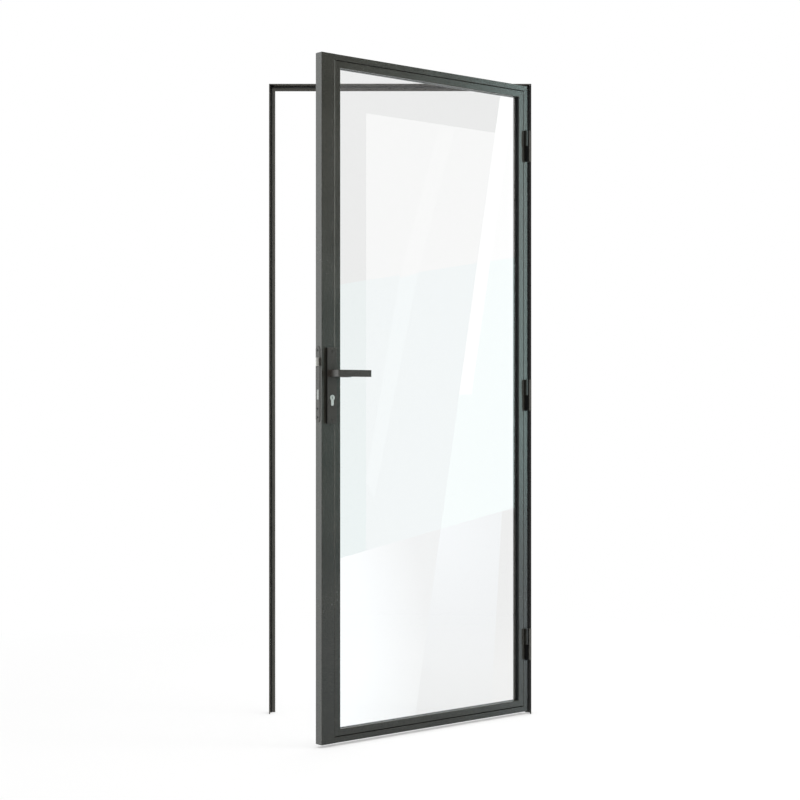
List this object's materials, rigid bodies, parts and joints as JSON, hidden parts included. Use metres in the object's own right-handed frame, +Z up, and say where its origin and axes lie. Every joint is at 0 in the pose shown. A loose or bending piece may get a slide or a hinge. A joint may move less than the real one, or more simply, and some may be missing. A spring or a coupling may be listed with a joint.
{
  "type": "steel interior door with frame",
  "caption": "Glazed steel door leaf on weld-on hinges in a slim angle frame, with lever handles on long plates, a mortice lock with latch and deadbolt, and a profile cylinder.",
  "frame": {"origin": "on the floor, at the middle of the frame's width, in the plane of its front edges", "axes": "+X to the hinge side, +Y into the wall, away from the side the leaf opens to, +Z up; the leaf rests open 40 degrees"},
  "size_m": [0.88, 0.616, 2.115],
  "materials": {
    "frame_coat": "matt fine-texture powder coat, dark grey",
    "leaf_coat": "matt fine-texture powder coat, dark grey",
    "hardware_coat": "matt fine-texture powder coat, dark grey",
    "hinge_coat": "satin black coat",
    "clear_glass": "clear, faint green edge",
    "rubber": "matt black",
    "nickel": "satin nickel plate",
    "zinc": "zinc plate",
    "brass": "plain",
    "nylon": "moulded"
  },
  "bodies": {
    "frame": {"lock_jamb": "frame_coat", "frame_head": "frame_coat", "hinge_jamb": "frame_coat", "seal_lock_side": "rubber", "seal_head": "rubber", "seal_hinge_side": "rubber", "hinge_base_bottom": "hinge_coat", "hinge_base_middle": "hinge_coat", "hinge_base_top": "hinge_coat", "hinge_pin_bottom": "zinc", "hinge_pin_middle": "zinc", "hinge_pin_top": "zinc", "hinge_washer_bottom": "brass", "hinge_washer_middle": "brass", "hinge_washer_top": "brass"},
    "leaf": {"lock_stile": "leaf_coat", "hinge_stile": "leaf_coat", "top_rail": "leaf_coat", "bottom_rail": "leaf_coat", "bead_lock_side": "leaf_coat", "bead_hinge_side": "leaf_coat", "bead_top": "leaf_coat", "bead_bottom": "leaf_coat", "glass_pane": "clear_glass", "gasket_front": "rubber", "gasket_rear": "rubber", "setting_blocks": "nylon", "hinge_knuckle_bottom": "hinge_coat", "hinge_knuckle_middle": "hinge_coat", "hinge_knuckle_top": "hinge_coat", "lock_case": "zinc", "lock_cover": "zinc", "forend": "hardware_coat", "forend_screws": "zinc", "cylinder_body": "nickel", "plate_front": "hardware_coat", "plate_back": "hardware_coat", "plate_screws": "zinc", "lever_bushes": "nylon"},
    "handle": {"lever_front": "hardware_coat", "lever_back": "hardware_coat", "spindle": "zinc", "follower": "zinc", "grub_screws": "zinc"},
    "latch": {"latch_bolt": "nickel", "latch_spring": "zinc"},
    "deadbolt": {"deadbolt": "nickel"},
    "key_plug": {"plug_front": "nickel", "cylinder_cam": "zinc"},
    "back_plug": {"plug_back": "nickel"}
  },
  "joints": [
    {"name": "leaf_swing", "type": "hinge", "parent": "frame", "child": "leaf", "pos_m": [0.4225, -0.006, 1.07], "axis": [0, 0, 1], "range_deg": [-40, 130]},
    {"name": "lever_turn", "type": "hinge", "parent": "leaf", "child": "handle", "pos_m": [-0.22107, -0.51861, 1.135], "axis": [-0.6428, 0.766, 0], "range_deg": [0, 40], "stiffness_Nm_per_rad": 1.6, "springref_deg": -28.65},
    {"name": "latch_slide", "type": "slide", "parent": "leaf", "child": "latch", "axis": [0.766, 0.6428, 0], "range_m": [0, 0.0111], "deforming": ["latch_spring"]},
    {"name": "key_turn", "type": "hinge", "parent": "leaf", "child": "key_plug", "pos_m": [-0.22107, -0.51861, 1.061], "axis": [0.6428, -0.766, 0], "range_deg": [0, 361]},
    {"name": "bolt_slide", "type": "slide", "parent": "leaf", "child": "deadbolt", "axis": [-0.766, -0.6428, 0], "range_m": [0, 0.014]},
    {"name": "back_key_turn", "type": "hinge", "parent": "leaf", "child": "back_plug", "pos_m": [-0.22107, -0.51861, 1.061], "axis": [-0.6428, 0.766, 0], "range_deg": [0, 360]}
  ],
  "couplings": [
    {"joint": "latch_slide", "follows": "lever_turn", "m_per_rad": 0.015756},
    {"joint": "key_turn", "follows": "bolt_slide", "rad_per_m": 448.8}
  ]
}
